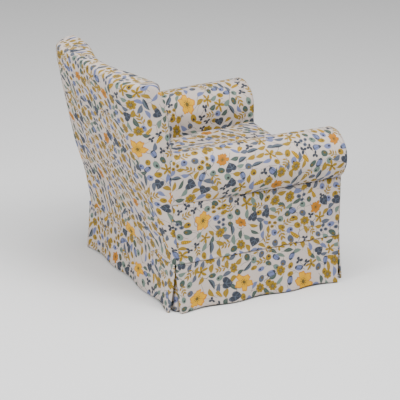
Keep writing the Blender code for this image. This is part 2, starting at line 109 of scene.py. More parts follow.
# ---------------------------------------------------------------- shape of the chair
def read_profile(table, z, column):
    """Reads a column of a profile at a height, on a smooth curve through its rows."""
    z = min(max(z, table[0][0]), table[-1][0])
    index = max(i for i, row in enumerate(table[:-1]) if row[0] <= z)
    low, high = table[index], table[index + 1]
    before, after = table[max(index - 1, 0)], table[min(index + 2, len(table) - 1)]
    span = high[0] - low[0]
    t = (z - low[0]) / span
    slope_low = (high[column] - before[column]) / (high[0] - before[0]) * span
    slope_high = (after[column] - low[column]) / (after[0] - low[0]) * span
    return ((2 * t**3 - 3 * t**2 + 1) * low[column] + (t**3 - 2 * t**2 + t) * slope_low
            + (3 * t**2 - 2 * t**3) * high[column] + (t**3 - t**2) * slope_high)


def smooth(value, low, high):
    """0 below low, 1 above high, and a smooth step between."""
    t = min(max((value - low) / (high - low), 0), 1)
    return t * t * (3 - 2 * t)


def body_half(y):
    """Half width of the body under the arm rolls."""
    return ROLL_X + ROLL_INSET - TAPER * (y - FRONT_Y)


def back_half(z):
    share = min(max((z - SKIRT_TOP) / (HEIGHT - SKIRT_TOP), 0), 1)
    return BACK_HALF_LOW + (BACK_HALF_TOP - BACK_HALF_LOW) * share


def back_y(z):
    return read_profile(BACK_OUTSIDE, z, 1)


def corner_radius(z):
    return read_profile(BACK_OUTSIDE, z, 2)


def inside_y(x, z):
    """How far back the inside of the back is: dished between the wings, eased at their edges."""
    dish = (1 + math.cos(math.pi * min(abs(x) / WING_X, 1))) / 2
    edge = max(abs(x) - WING_X - 0.006, 0) / 0.04
    return read_profile(BACK_INSIDE, z, 1) + read_profile(BACK_INSIDE, z, 2) * dish + 0.030 * edge**2


def ripple(x, y, z, size, seed=0.0):
    """Smooth unevenness between -1 and 1, with bumps of about the given size."""
    return noise.noise(Vector((x / size + seed, y / size - seed, z / size + 2 * seed)))


# ---------------------------------------------------------------- mesh helpers
def running_length(points):
    """Distance along a line of points, from its first point."""
    lengths = [0.0]
    for before, after in zip(points, points[1:]):
        lengths.append(lengths[-1] + (after - before).length)
    return lengths


def print_layout(points, start):
    """Where each grid point falls on the flat cloth, in metres: the panel's middle line is at start."""
    across = [running_length(row) for row in points]
    up = [running_length(column) for column in zip(*points)]
    middle = len(points[0]) // 2
    return [[(start[0] + across[j][i] - across[j][middle], start[1] + up[i][j])
             for i in range(len(points[0]))] for j in range(len(points))]


def grid_mesh(bm, columns, rows, surface, start=(0, 0), keep=None):
    """Adds a grid of faces on surface(u, v), with its print coordinates."""
    points = [[Vector(surface(i / columns, j / rows)) for i in range(columns + 1)]
              for j in range(rows + 1)]
    flat = print_layout(points, start)
    layer = bm.loops.layers.uv.get("print") or bm.loops.layers.uv.new("print")
    verts = [[bm.verts.new(p) for p in row] for row in points]
    for j in range(rows):
        for i in range(columns):
            if keep and not keep((i + 0.5) / columns, (j + 0.5) / rows):
                continue
            corners = ((j, i), (j, i + 1), (j + 1, i + 1), (j + 1, i))
            face = bm.faces.new([verts[a][b] for a, b in corners])
            face.smooth = True
            for loop, (a, b) in zip(face.loops, corners):
                loop[layer].uv = flat[a][b]
    spare = [v for v in bm.verts if not v.link_faces]
    bmesh.ops.delete(bm, geom=spare, context="VERTS")


def soften(bm, amount, size, seed):
    """The slight unevenness of padded cloth, moved along the surface's own direction."""
    bm.normal_update()
    for vert, normal in [(v, v.normal.copy()) for v in bm.verts]:
        x, y, z = vert.co
        bump = ripple(x, y, z, size, seed) + 0.45 * ripple(x, y, z, size / 2.3, seed + 7)
        vert.co += normal * amount * bump


def add_piece(name, bm, material, body="chair", replaces=(), thickness=0.0):
    """Turns a bmesh into a piece of the chair that rides on a body and stands for CAD nodes."""
    mesh = bpy.data.meshes.new(name)
    bm.to_mesh(mesh)
    bm.free()
    mesh.materials.append(material)
    piece = bpy.data.objects.new(name, mesh)
    bpy.context.scene.collection.objects.link(piece)
    if thickness:
        solid = piece.modifiers.new("cloth thickness", "SOLIDIFY")
        solid.thickness = thickness
        solid.offset = -1
    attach(piece, body)
    if replaces:
        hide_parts(*replaces)
    return piece


def panel(name, columns, rows, surface, replaces, outward, start=(0, 0), keep=None, seed=0.0,
          soft=0.0010, thickness=CLOTH, size=0.11):
    """A sewn cover panel. outward(point) is a direction that its right side faces."""
    bm = bmesh.new()
    grid_mesh(bm, columns, rows, surface, start, keep)
    bm.normal_update()
    facing = sum(f.normal.dot(Vector(outward(f.calc_center_median()))) * f.calc_area()
                 for f in bm.faces)
    if facing < 0:
        bmesh.ops.reverse_faces(bm, faces=bm.faces[:])
    soften(bm, soft, size, seed)
    return add_piece(name, bm, PRINT, replaces=replaces, thickness=thickness)


# ---------------------------------------------------------------- shader formulas
class Value:
    """A number in a material's node tree, so that nodes can be written as formulas."""

    def __init__(self, tree, socket):
        self.tree, self.socket = tree, socket

    def math(self, operation, *others, clamp=False):
        node = self.tree.nodes.new("ShaderNodeMath")
        node.operation = operation
        node.use_clamp = clamp
        for entry, item in zip(node.inputs, (self, *others)):
            if isinstance(item, Value):
                self.tree.links.new(item.socket, entry)
            else:
                entry.default_value = item
        return Value(self.tree, node.outputs[0])

    def __add__(self, other):
        return self.math("ADD", other)

    def __sub__(self, other):
        return self.math("SUBTRACT", other)

    def __mul__(self, other):
        return self.math("MULTIPLY", other)

    def __truediv__(self, other):
        return self.math("DIVIDE", other)

    def __rsub__(self, other):
        return self.math("MULTIPLY_ADD", -1.0, other)

    def __pow__(self, other):
        return self.math("POWER", other)

    __radd__ = __add__
    __rmul__ = __mul__

    def abs(self):
        return self.math("ABSOLUTE")

    def sin(self):
        return self.math("SINE")

    def cos(self):
        return self.math("COSINE")

    def lowest(self, other):
        return self.math("MINIMUM", other)

    def highest(self, other):
        return self.math("MAXIMUM", other)

    def above(self, level, softness):
        """0 below level, 1 above it, over a short ramp."""
        gain = 1 / softness
        return self.math("MULTIPLY_ADD", gain, 0.5 - level * gain, clamp=True)

    def below(self, level, softness):
        gain = 1 / softness
        return self.math("MULTIPLY_ADD", -gain, 0.5 + level * gain, clamp=True)

    def between(self, low, high):
        return self.math("GREATER_THAN", low) * self.math("LESS_THAN", high)


def vector(tree, x, y):
    node = tree.nodes.new("ShaderNodeCombineXYZ")
    for entry, item in zip(node.inputs, (x, y)):
        if isinstance(item, Value):
            tree.links.new(item.socket, entry)
        else:
            entry.default_value = item
    return node.outputs[0]


def split(tree, socket):
    node = tree.nodes.new("ShaderNodeSeparateXYZ")
    tree.links.new(socket, node.inputs[0])
    return [Value(tree, out) for out in node.outputs]


def length(x, y):
    return (x * x + y * y) ** 0.5


def cloud(tree, coords, scale, detail=2.0, distortion=0.0):
    """Soft noise between 0 and 1."""
    node = tree.nodes.new("ShaderNodeTexNoise")
    node.noise_dimensions = "2D"
    node.inputs["Scale"].default_value = scale
    node.inputs["Detail"].default_value = detail
    node.inputs["Distortion"].default_value = distortion
    tree.links.new(coords, node.inputs["Vector"])
    return Value(tree, node.outputs["Fac"])


def cells(tree, coords, jitter):
    """The nearest jittered point of a unit grid: where it is, and its three dice."""
    node = tree.nodes.new("ShaderNodeTexVoronoi")
    node.voronoi_dimensions = "2D"
    node.feature = "F1"
    node.inputs["Scale"].default_value = 1.0
    node.inputs["Randomness"].default_value = jitter
    tree.links.new(coords, node.inputs["Vector"])
    place = split(tree, node.outputs["Position"])[:2]
    dice = split(tree, node.outputs["Color"])
    return place, dice


def mix(tree, share, under, over):
    """A colour between two colours. Each is a socket or a colour."""
    node = tree.nodes.new("ShaderNodeMix")
    node.data_type = "RGBA"
    entries = [s for s in node.inputs if s.type == "RGBA"]
    for entry, item in zip(entries, (under, over)):
        if isinstance(item, tuple):
            entry.default_value = (*item, 1.0)
        else:
            tree.links.new(item, entry)
    factor = node.inputs[0]
    if isinstance(share, Value):
        tree.links.new(share.socket, factor)
    else:
        factor.default_value = share
    return [s for s in node.outputs if s.type == "RGBA"][0]


# ---------------------------------------------------------------- the print, drawn by nodes
# Colours are linear. The print is a scatter of generic flowers, leaves and berries on pale linen.
GROUND = (0.535, 0.463, 0.418)
GROUND_SHADE = (0.422, 0.366, 0.333)
MUSTARD = (0.250, 0.150, 0.002)
MUSTARD_DARK = (0.104, 0.068, 0.009)
AMBER = (0.640, 0.330, 0.003)
ORANGE = (0.420, 0.140, 0.001)
SLATE = (0.0223, 0.0308, 0.0459)
SLATE_PALE = (0.060, 0.079, 0.117)
PERIWINKLE = (0.115, 0.143, 0.285)
SAGE = (0.036, 0.067, 0.057)
SAGE_PALE = (0.108, 0.165, 0.137)
INK = (0.013, 0.014, 0.019)
STONE = (0.143, 0.135, 0.100)
STEM = (0.072, 0.068, 0.062)

FLOWER_SPACING = 0.245
FLOWER_SHIFT = (0.31, 0.62)
FLOWER_JITTER = 0.42
FLOWER_RADIUS = 0.0255
POPPY_EXTRA_RADIUS = 0.015
POPPY_FROM = 0.45        # dice above this give a poppy
MOTIF_SPACING = 0.0575
MIDDLE_MOTIF_SIZE = MOTIF_SPACING * 0.40
SMALL_MOTIF_SIZE = MOTIF_SPACING * 0.275


def petals(angle, radius, count, low, high, sharp, edge):
    """A flower's mask: petals between two radii. A high sharp makes them narrow."""
    lobe = (angle * (count / 2)).cos().abs() ** sharp
    return (radius - lobe * (high - low)).below(low, edge)


def leaf(x, y, half_length, half_width, edge):
    """The mask of a pointed leaf along x."""
    taper = (1 - (x / half_length) ** 2).highest(0.0)
    return (taper * half_width - y.abs()).above(0.0, edge)


def turn(x, y, angle):
    """The same point in axes turned by an angle that is a shader value."""
    cosine, sine = angle.cos(), angle.sin()
    return x * cosine + y * sine, y * cosine - x * sine


def turned(x, y, degrees):
    """The same point in axes turned by a fixed angle."""
    cosine, sine = math.cos(math.radians(degrees)), math.sin(math.radians(degrees))
    return x * cosine + y * sine, y * cosine - x * sine


def motif_points(tree, x, y, spacing, shift, jitter):
    """A triangular scatter. Returns each point's own axes, its dice and its centre on the cloth."""
    u = x / spacing + y * (0.5 / (spacing * 0.866)) + shift[0]
    v = y / (spacing * 0.866) + shift[1]
    place, dice = cells(tree, vector(tree, u, v), jitter)
    center_y = (place[1] - shift[1]) * (spacing * 0.866)
    center_x = (place[0] - shift[0]) * spacing - center_y * (0.5 / 0.866)
    return (x - center_x, y - center_y), dice, (center_x, center_y)


def flower_places(tree, x, y):
    """The nearest large flower's own axes, its dice, whether it is a poppy, and its radius."""
    place, dice, _ = motif_points(tree, x, y, FLOWER_SPACING, FLOWER_SHIFT, FLOWER_JITTER)
    poppy = dice[1].math("GREATER_THAN", POPPY_FROM)
    return place, dice, poppy, poppy * POPPY_EXTRA_RADIUS + FLOWER_RADIUS


def large_flowers(tree, color, x, y):
    """Open poppies and ragged orange flowers, far apart."""
    (dx, dy), dice, poppy, size = flower_places(tree, x, y)
    dx, dy = turn(dx, dy, dice[0] * 2.0 - 1.0)
    px, py = dx / size, dy / (size * 0.80)
    radius = length(px, py)
    angle = py.math("ARCTAN2", px)
    wave = (angle * 13 + dice[2] * 9).sin() * 0.05 + (angle * 5 + dice[0] * 5).sin() * 0.09
    lobes = (angle * (poppy * -1.0 + 3.5)).cos().abs() ** 0.45
    reach = lobes * 0.30 + wave + 0.66
    body = (reach - radius).above(0.0, 0.05)
    rim = body * (reach - radius).below(0.13, 0.12)
    folds = body * lobes.below(0.42, 0.30) * radius.above(0.30, 0.2)
    flower = mix(tree, poppy, ORANGE, AMBER)
    color = mix(tree, body, color, flower)
    edge_color = mix(tree, poppy, MUSTARD, ORANGE)
    color = mix(tree, rim * 0.80 + folds * 0.55, color, edge_color)
    streak = ((angle * 31).sin() * 0.5 + 0.5) * body * radius.below(0.55, 0.25) * 0.35
    color = mix(tree, streak, color, MUSTARD)
    color = mix(tree, radius.below(0.20, 0.05), color, MUSTARD_DARK)
    dots = (radius - 0.30).abs().below(0.045, 0.03) * (angle * 9).sin().above(0.3, 0.3)
    color = mix(tree, dots * body, color, INK)
    return color


def clear_of_flowers(tree, center, margin):
    """1 where a motif's centre is away from the large flowers, which keep their own room."""
    (dx, dy), _, _, size = flower_places(tree, *center)
    return (length(dx, dy) - size).math("GREATER_THAN", margin)


def middle_motifs(tree, color, x, y):
    """Daisies, star flowers, heart leaves, long leaves, sprays, berries, buds and seed heads."""
    (dx, dy), dice, center = motif_points(tree, x, y, MOTIF_SPACING, (0.0, 0.0), 0.34)
    free = clear_of_flowers(tree, center, 0.013)
    pick, spin, tint = dice
    dx, dy = turn(dx, dy, spin * (2 * math.pi))
    scale = 1 / MIDDLE_MOTIF_SIZE
    dx, dy = dx * scale, dy * scale
    radius = length(dx, dy)
    angle = dy.math("ARCTAN2", dx)

    stem = (dy - dx * dx * 0.22).abs().below(0.035, 0.05) * dx.between(-1.35, 0.1) * 0.9
    color = mix(tree, stem * free, color, STEM)

    def stamp(low, high, layers):
        """Paints a motif where the dice pick it."""
        nonlocal color
        chosen = pick.between(low, high) * free
        for mask, over in layers:
            color = mix(tree, mask * chosen, color, over)

    daisy = petals(angle, radius, 7, 0.60, 0.84, 0.5, 0.07)
    stamp(0.00, 0.17, ((daisy, MUSTARD), (petals(angle, radius, 7, 0.26, 0.52, 2.0, 0.08), MUSTARD_DARK),
                       (radius.below(0.20, 0.06), STONE), (radius.below(0.09, 0.06), MUSTARD_DARK)))
    star = petals(angle, radius, 5, 0.16, 1.00, 1.3, 0.09)
    stamp(0.17, 0.29, ((star, MUSTARD), (radius.below(0.17, 0.06), MUSTARD_DARK)))

    heart_x = dx.abs()
    heart = (dy + 0.25 - heart_x ** 0.7 * 0.62)
    heart_mask = length(heart_x / 0.80, heart / 0.72).below(1.0, 0.09)
    stamp(0.29, 0.40, ((heart_mask, SLATE), (heart_mask * heart_x.below(0.035, 0.04), SLATE_PALE),
                       (heart_mask * (dy * 9 + heart_x * 6).sin().above(0.86, 0.2), SLATE_PALE)))

    bend = dy - dx * dx * 0.16 + 0.08
    long_leaf = leaf(dx, bend, 1.05, 0.36, 0.06)
    stamp(0.40, 0.50, ((long_leaf, SLATE_PALE), (long_leaf * bend.above(0.0, 0.03), SLATE),
                       (bend.abs().below(0.02, 0.03) * long_leaf, SAGE_PALE)))

    spray = None
    for place, degrees in ((-0.45, 52), (0.10, 46), (0.60, 28)):
        leaf_x, leaf_y = turned(dx - place, dy.abs() - 0.30 + place * 0.14, degrees)
        one = leaf(leaf_x, leaf_y, 0.38, 0.155, 0.06)
        spray = one if spray is None else spray.highest(one)
    twig = dy.abs().below(0.03, 0.04) * dx.between(-0.95, 0.75)
    stamp(0.50, 0.63, ((twig, STEM), (spray, MUSTARD)))

    berries = None
    for place in ((-0.50, -0.20), (0.16, 0.46), (0.42, -0.36)):
        away = length(dx - place[0], dy - place[1])
        berries = away if berries is None else berries.lowest(away)
    tone = mix(tree, tint.math("GREATER_THAN", 0.6), MUSTARD, SLATE_PALE)
    stamp(0.63, 0.75, ((berries.below(0.34, 0.06), tone), (berries.below(0.13, 0.06), INK)))

    bud = length(dx / 0.72, dy / (0.50 - dx * 0.12)).below(1.0, 0.08)
    tip = bud * dx.above(0.36, 0.12)
    stamp(0.75, 0.88, ((bud, PERIWINKLE), (bud * (dy * 11 + dx * 2).sin().above(0.75, 0.3), SLATE_PALE),
                       (bud * dx.below(-0.46, 0.12), SLATE), (tip, SLATE)))

    bumps = (dx * 15).sin() * 0.05 + (dy.abs() * 19).cos() * 0.05
    head = (length(dx / 0.86, dy / (0.36 - dx * 0.20)) + bumps).below(0.92, 0.08)
    stamp(0.88, 1.01, ((head, MUSTARD), (head * (dx * 22).sin().above(0.2, 0.5)
                                         * (dy * 24).cos().above(0.3, 0.5), AMBER)))
    return color


def small_motifs(tree, color, x, y, shift, colors, seed):
    """Small leaves, buds, berries and four-leaved sprigs in the gaps."""
    (dx, dy), dice, center = motif_points(tree, x, y, MOTIF_SPACING, shift, 0.20)
    free = clear_of_flowers(tree, center, 0.004)
    pick, spin, tint = dice
    dx, dy = turn(dx, dy, spin * (2 * math.pi))
    scale = 1 / SMALL_MOTIF_SIZE
    dx, dy = dx * scale, dy * scale
    radius = length(dx, dy)
    tone = mix(tree, tint.math("GREATER_THAN", 0.34), colors[0], colors[1])
    tone = mix(tree, tint.math("GREATER_THAN", 0.68), tone, colors[2])
    stem = (dy + dx * dx * 0.18).abs().below(0.05, 0.06) * dx.between(-2.0, -0.3) * 0.85
    color = mix(tree, stem * free, color, STEM)

    first = pick.math("LESS_THAN", 0.50) * free
    leaf_mask = leaf(dx, dy + dx * dx * 0.2, 1.15, 0.52, 0.10) * first
    color = mix(tree, leaf_mask, color, tone)
    color = mix(tree, leaf_mask * (dy + dx * dx * 0.2).abs().below(0.04, 0.06) * 0.6, color, STONE)

    second = pick.between(0.50, 0.88) * free
    berry = length(dx / 0.82, dy / 0.70).below(1.0, 0.12) * second
    color = mix(tree, berry, color, tone)
    color = mix(tree, length(dx - 0.25, dy).below(0.26, 0.12) * second, color, seed)

    third = pick.math("GREATER_THAN", 0.88) * free
    angle = dy.math("ARCTAN2", dx)
    sprig = petals(angle, radius, 3, 0.12, 0.88, 1.1, 0.14) * third
    return mix(tree, sprig, color, SLATE)


def tendrils(tree, x, y, spacing=0.085):
    """Thin curving stems that branch: the edges of large warped cells, broken here and there."""
    bend_x = (cloud(tree, vector(tree, x, y), 13.0, 1.0) - 0.5) * 0.07
    bend_y = (cloud(tree, vector(tree, y + 5.3, x + 2.1), 13.0, 1.0) - 0.5) * 0.07
    node = tree.nodes.new("ShaderNodeTexVoronoi")
    node.voronoi_dimensions = "2D"
    node.feature = "DISTANCE_TO_EDGE"
    node.inputs["Scale"].default_value = 1.0
    tree.links.new(vector(tree, (x + bend_x) / spacing, (y + bend_y) / spacing), node.inputs["Vector"])
    line = Value(tree, node.outputs["Distance"]).below(0.010, 0.012)
    return line * cloud(tree, vector(tree, x, y), 21.0, 0.0).above(0.42, 0.06)


def weave(tree, x, y, pitch=0.0011):
    """Height of a plain weave: threads over and under each other."""
    turns = 2 * math.pi / pitch
    across, along = (x * turns).sin(), (y * turns).sin()
    return across.abs() * (across * along).above(0.0, 0.6) + along.abs() * (across * along).below(0.0, 0.6)


def new_material(name, roughness, sheen=0.0, metallic=0.0, specular=0.5, sheen_roughness=0.5):
    mat = bpy.data.materials.new(name)
    mat.use_nodes = True
    shader = mat.node_tree.nodes["Principled BSDF"]
    shader.inputs["Roughness"].default_value = roughness
    shader.inputs["Metallic"].default_value = metallic
    shader.inputs["Specular IOR Level"].default_value = specular
    shader.inputs["Sheen Weight"].default_value = sheen
    shader.inputs["Sheen Roughness"].default_value = sheen_roughness
    return mat, mat.node_tree, shader


def set_bump(tree, shader, height, strength, distance):
    bump = tree.nodes.new("ShaderNodeBump")
    bump.inputs["Strength"].default_value = strength
    bump.inputs["Distance"].default_value = distance
    tree.links.new(height.socket, bump.inputs["Height"])
    tree.links.new(bump.outputs["Normal"], shader.inputs["Normal"])


def printed_linen():
    """Linen-cotton canvas with the scattered print, laid out by each panel's flat coordinates."""
    mat, tree, shader = new_material("printed_linen", 0.9, sheen=0.04, specular=0.12)
    layout = tree.nodes.new("ShaderNodeUVMap")
    layout.uv_map = "print"
    flat = layout.outputs["UV"]
    x, y = split(tree, flat)[:2]

    drift_x = (cloud(tree, flat, 9.0, 1.0) - 0.5) * 0.030
    drift_y = (cloud(tree, vector(tree, y + 3.7, x + 1.9), 9.0, 1.0) - 0.5) * 0.030
    print_x, print_y = x + drift_x, y + drift_y

    slubs = (cloud(tree, vector(tree, x * 0.25, y), 900.0, 3.0)
             + cloud(tree, vector(tree, x, y * 0.25), 900.0, 3.0)) * 0.5
    tone = cloud(tree, flat, 6.0, 3.0)
    color = mix(tree, tone.above(0.5, 0.9) * 0.35 + slubs.above(0.5, 0.35) * 0.25, GROUND, GROUND_SHADE)

    color = mix(tree, tendrils(tree, x, y) * 0.9, color, STEM)
    color = small_motifs(tree, color, print_x, print_y, (2 / 3, 1 / 3), (MUSTARD, SLATE_PALE, SAGE),
                         MUSTARD_DARK)
    color = small_motifs(tree, color, print_x, print_y, (1 / 3, 2 / 3), (PERIWINKLE, MUSTARD, SAGE_PALE),
                         INK)
    color = middle_motifs(tree, color, print_x, print_y)
    color = large_flowers(tree, color, print_x, print_y)

    color = mix(tree, cloud(tree, flat, 260.0, 2.0).above(0.5, 0.6) * 0.07, color, GROUND)
    tree.links.new(color, shader.inputs["Base Color"])
    threads = weave(tree, x, y)
    set_bump(tree, shader, threads * 0.6 + slubs * 0.8, 0.45, 0.0005)
    return mat


def plain_cloth(name, color, shade, pitch, roughness=0.9, sheen=0.1):
    """A plain woven cloth, laid out in space because nothing is printed on it."""
    mat, tree, shader = new_material(name, roughness, sheen=sheen, specular=0.2)
    place = tree.nodes.new("ShaderNodeTexCoord").outputs["Object"]
    x, y, z = split(tree, place)
    along = x + z * 0.37
    across = y + z * 0.61
    tone = cloud(tree, vector(tree, along, across), 40.0, 3.0)
    tree.links.new(mix(tree, tone, color, shade), shader.inputs["Base Color"])
    set_bump(tree, shader, weave(tree, along, across, pitch), 0.5, 0.0005)
    return mat


def planed_wood(name, pale, dark, grain_axis, roughness, coat=0.0):
    """Wood with growth rings stretched along its grain and fine pores."""
    mat, tree, shader = new_material(name, roughness)
    shader.inputs["Coat Weight"].default_value = coat
    place = tree.nodes.new("ShaderNodeTexCoord").outputs["Object"]
    mapping = tree.nodes.new("ShaderNodeMapping")
    mapping.inputs["Scale"].default_value = [6.0 if axis == grain_axis else 60.0 for axis in "xyz"]
    tree.links.new(place, mapping.inputs["Vector"])
    grain = tree.nodes.new("ShaderNodeTexNoise")
    grain.inputs["Scale"].default_value = 1.6
    grain.inputs["Detail"].default_value = 6.0
    grain.inputs["Distortion"].default_value = 0.8
    tree.links.new(mapping.outputs[0], grain.inputs["Vector"])
    rings = Value(tree, grain.outputs["Fac"])
    bands = (rings * 34).sin() * 0.5 + 0.5
    tree.links.new(mix(tree, bands * 0.55 + rings * 0.35, pale, dark), shader.inputs["Base Color"])
    set_bump(tree, shader, bands, 0.15, 0.0004)
    return mat


def foam():
    mat, tree, shader = new_material("foam", 0.95, sheen=0.1, specular=0.15)
    place = tree.nodes.new("ShaderNodeTexCoord").outputs["Object"]
    pores = tree.nodes.new("ShaderNodeTexVoronoi")
    pores.inputs["Scale"].default_value = 420.0
    tree.links.new(place, pores.inputs["Vector"])
    depth = Value(tree, pores.outputs["Distance"])
    # The pore hollows are painted darker than their rims: painted shade in the pores, on top of the bump
    # that sinks them.
    tree.links.new(mix(tree, depth, (0.60, 0.52, 0.30), (0.80, 0.74, 0.52)),
                   shader.inputs["Base Color"])
    set_bump(tree, shader, depth, 0.6, 0.001)
    return mat


def metal(name, color, roughness, scratches):
    mat, tree, shader = new_material(name, roughness, metallic=1.0)
    place = tree.nodes.new("ShaderNodeTexCoord").outputs["Object"]
    x, y, z = split(tree, place)
    wear = cloud(tree, vector(tree, x + z, y), scratches, 4.0)
    dull = tuple(c * 0.62 for c in color)
    tree.links.new(mix(tree, wear, color, dull), shader.inputs["Base Color"])
    set_bump(tree, shader, wear, 0.2, 0.0002)
    return mat


PRINT = printed_linen()


# ---------------------------------------------------------------- arms
def arm_place(side, x, y, z):
    """A point across, along and up an arm. Both arms close in towards the back."""
    return Vector((side * (ROLL_X - TAPER * y + x), FRONT_Y + y, z))


ARM_LENGTH = ARM_END_Y - FRONT_Y
ARM_ROUND = 0.011        # the arm's front edge is eased by this much
NECK_ANGLE = -math.acos((ROLL_INSET - 0.001) / ROLL_RADIUS)


def arm_section(share, inset, flatten):
    """Section of an arm: up its inner face, over the roll, and under to the outside panel."""
    radius = ROLL_RADIUS - inset
    straight = 0.22
    if share <= straight:
        low = DECK_Z - 0.001
        return -radius, low + (ROLL_Z - low) * share / straight
    angle = math.pi + (NECK_ANGLE - math.pi) * (share - straight) / (1 - straight)
    x = radius * math.cos(angle)
    flat = ROLL_INSET - min(inset, 0.012)
    if x > flat:
        x += (flat - x) * flatten
    return x, ROLL_Z + radius * math.sin(angle)


def make_arm(side, label):
    def roll(u, v):
        end = ARM_LENGTH + 0.012
        y = ARM_ROUND * 0.05 + (end - ARM_ROUND * 0.05) * v**1.15
        ease = max(1 - y / ARM_ROUND, 0)
        inset = ARM_ROUND * (1 - math.sqrt(max(1 - ease**2, 0)))
        flatten = smooth(y / ARM_LENGTH, 0.50, 1.0)
        crown = 0.0022 * math.sin(math.pi * min(y / ARM_LENGTH, 1))
        x, z = arm_section(u, inset - crown, flatten)
        return arm_place(side, x, y, z)

    cover = panel(f"arm_roll_{label}", 96, 76, roll, (f"arm_cover_{label}", f"arm_pad_{label}"),
                  lambda p: (p.x - side * (ROLL_X - TAPER * (p.y - FRONT_Y)), 0, p.z - ROLL_Z),
                  start=(0.11, 0.04), seed=3.1 + side, soft=0.0011)

    def facing(u, v):
        """From the facing's outline at v = 0 in to its middle line at v = 1."""
        inset = 0.0075
        radius, neck = ROLL_RADIUS - inset, ROLL_INSET - 0.004
        low = SKIRT_TOP - 0.001
        rise = ROLL_Z + radius * math.sin(-math.acos(neck / radius)) - low
        arc = math.pi + math.acos(neck / radius)
        lengths = (ROLL_Z - low, radius * arc, rise)
        run = u * sum(lengths)
        if run <= lengths[0]:
            z = low + run
            x = -radius - (inset - 0.0005) * (1 - smooth(z, DECK_Z - 0.012, DECK_Z + 0.012))
        elif run <= lengths[0] + lengths[1]:
            angle = math.pi - (run - lengths[0]) / radius
            x, z = radius * math.cos(angle), ROLL_Z + radius * math.sin(angle)
        else:
            x, z = neck, low + sum(lengths) - run
        middle_x = (neck - radius) / 2 * smooth(ROLL_Z - z, 0.0, 0.10)
        middle_z = min(z, ROLL_Z)
        x, z = x + (middle_x - x) * v, z + (middle_z - z) * v
        puff = 0.0045 * (1 - (1 - v) ** 3)
        return arm_place(side, x, 0, z) + Vector((0, 0.0015 - puff, 0))

    bm = bmesh.new()
    grid_mesh(bm, 90, 14, facing)
    bmesh.ops.remove_doubles(bm, verts=bm.verts[:], dist=0.0004)
    layer = bm.loops.layers.uv["print"]
    for face in bm.faces:
        for loop in face.loops:
            loop[layer].uv = (side * loop.vert.co.x + 0.31, loop.vert.co.z + 0.77)
    if sum(f.normal.y * f.calc_area() for f in bm.faces) > 0:
        bmesh.ops.reverse_faces(bm, faces=bm.faces[:])
    soften(bm, 0.0006, 0.09, 5.0 + side)
    add_piece(f"arm_front_panel_{label}", bm, PRINT, replaces=(f"arm_facing_{label}",), thickness=0.004)

    def outside(u, v):
        above = (PANEL_HIGH.z + 0.004 - SKIRT_TOP) * v**1.6
        z = SKIRT_TOP - 0.001 + above
        ridge = 0.0042 * math.exp(-((above - 0.0075) / 0.006)**2) - 0.0040 * (1 - smooth(above, 0.0, 0.006))
        rear = min(back_y(z) - corner_radius(z) + 0.004, ARM_END_Y + 0.004) - FRONT_Y
        y = 0.0035 + (rear - 0.0035) * u
        fullness = 0.0022 * math.sin(math.pi * v) ** 0.5 * smooth(y, 0.0, 0.05) * smooth(rear - y, 0, 0.05)
        front_ease = 0.005 * (1 - smooth(y, 0.0, 0.012))
        tuck = 0.0035 * smooth(v, 0.965, 1.0)
        return arm_place(side, ROLL_INSET + 0.0005 + fullness + ridge - front_ease - tuck, y, z)

    panel(f"outside_arm_{label}", 76, 38, outside, (f"outside_arm_panel_{label}",),
          lambda p: (side, 0, 0), start=(0.235, 0.61), seed=11.3 + side, soft=0.0009)


# ---------------------------------------------------------------- back
def wing_front(z):
    """Front edge of the outside back: a side seam behind the arm, the wing's front above it."""
    corner = back_y(z) - corner_radius(z)
    edge = corner - 0.004 + (ARM_END_Y + 0.003 - corner + 0.004) * smooth(z, 0.400, 0.418)
    wing = min(inside_y(back_half(z) - WING_ROUND, z) + 0.0015, corner - 0.002)
    return edge + (wing - edge) * smooth(z, 0.570, 0.604)


def back_plan(reach, z):
    """Half of the outside back at one height: along the back, round its corner, to the front edge."""
    radius = corner_radius(z)
    half = back_half(z)
    front = wing_front(z)
    corner = back_y(z) - radius
    ease = min(0.003 + (WING_ROUND - 0.003) * smooth(z, 0.575, 0.620), max((corner - front) * 0.9, 0.002))
    if reach <= 0.42:
        return reach / 0.42 * (half - radius), back_y(z)
    if reach <= 0.80:
        angle = (reach - 0.42) / 0.38 * math.pi / 2
        return half - radius + radius * math.sin(angle), corner + radius * math.cos(angle)
    if reach <= 0.90:
        return half, corner + (front + ease - corner) * (reach - 0.80) / 0.10
    angle = (reach - 0.90) / 0.10 * math.pi / 2
    return half - ease + ease * math.cos(angle), front + ease - ease * math.sin(angle)


DOME_START = 0.72        # share of the outside back's grid that lies below the rounded top


def outside_back(u, v):
    """Up the back, then over the rounded top to the edge of the inside back."""
    t = u * 2 - 1
    side = 1 if t > 0 else -1
    if v <= DOME_START:
        z = SKIRT_TOP - 0.001 + (DOME_Z - SKIRT_TOP + 0.001) * v / DOME_START
        x, y = back_plan(abs(t), z)
        return side * x, y, z
    angle = (v - DOME_START) / (1 - DOME_START) * math.pi * 0.96
    x, y = back_plan(abs(t), DOME_Z)
    inner_x = x * (1 - 0.04 * abs(t))
    inner_y = min(inside_y(inner_x, DOME_Z) + 0.006, y - 0.003)
    outer = smooth(math.cos(angle), -0.5, 0.8)
    turn_share = math.copysign(abs(math.cos(angle)) ** (0.80 - 0.38 * outer), math.cos(angle))
    across = (1 - turn_share) / 2
    depth = math.sqrt(min((y - inner_y) / 0.045, 1))
    rise = DOME_RISE * depth * math.sin(angle) ** (0.58 - 0.28 * outer)
    return side * (x + (inner_x - x) * across), y + (inner_y - y) * across, DOME_Z + rise


STEM_SHARE = 0.62        # share of the inside back's columns that runs down between the arms


def stem_half(z):
    """Half width of the inside back between the arms, following the rolls as they turn away."""
    reach = ROLL_RADIUS + 0.002
    above = min(max(z - ROLL_Z, 0), reach * 0.999)
    axis = ROLL_X - TAPER * ARM_LENGTH
    return max(STEM_LOW_HALF, axis - math.sqrt(reach**2 - above**2))


